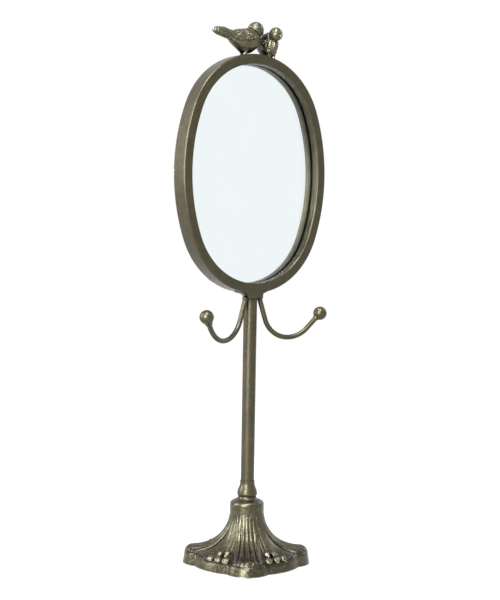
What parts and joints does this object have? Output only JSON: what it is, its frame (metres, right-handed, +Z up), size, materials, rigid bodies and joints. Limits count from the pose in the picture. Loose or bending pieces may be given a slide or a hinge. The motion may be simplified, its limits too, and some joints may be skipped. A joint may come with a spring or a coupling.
{
  "type": "tabletop mirror",
  "caption": "Free-standing oval tabletop mirror on a slim post with a fluted cast base, curved jewellery hooks and perched birds on top of the frame.",
  "frame": {"origin": "middle of the base's footprint, on the table", "axes": "+Z up along the post, the glass faces -Y, +X to the right of the glass as one looks at it"},
  "size_m": [0.1666, 0.105, 0.5087],
  "materials": {
    "cast_paint": "rough sand-cast metal under antique pewter-bronze paint, rubbed pale on high edges",
    "smooth_paint": "smooth metal under antique pewter-bronze paint with faint mottling",
    "frame_paint": "smooth deep frame under dark antique bronze paint",
    "mirror_glass": "flat silvered glass",
    "card": "thin grey-brown card",
    "panel_board": "thin hardboard, painted black",
    "plated_steel": "zinc-plated steel",
    "felt": "pressed felt"
  },
  "bodies": {
    "root": {"base_casting": "cast_paint", "foot_pads": "felt", "base_bolt": "plated_steel", "base_washer": "plated_steel", "post_insert": "plated_steel", "collar": "smooth_paint", "post_tube": "smooth_paint", "neck_block": "smooth_paint", "hook_arm_left": "smooth_paint", "hook_arm_right": "smooth_paint", "hook_ball_left": "smooth_paint", "hook_ball_right": "smooth_paint", "mirror_frame": "frame_paint", "mirror_glass": "mirror_glass", "backing_card": "card", "back_panel": "panel_board", "retaining_clips": "plated_steel", "clip_screws": "plated_steel", "bird_left": "cast_paint", "bird_right": "cast_paint"}
  },
  "joints": []
}
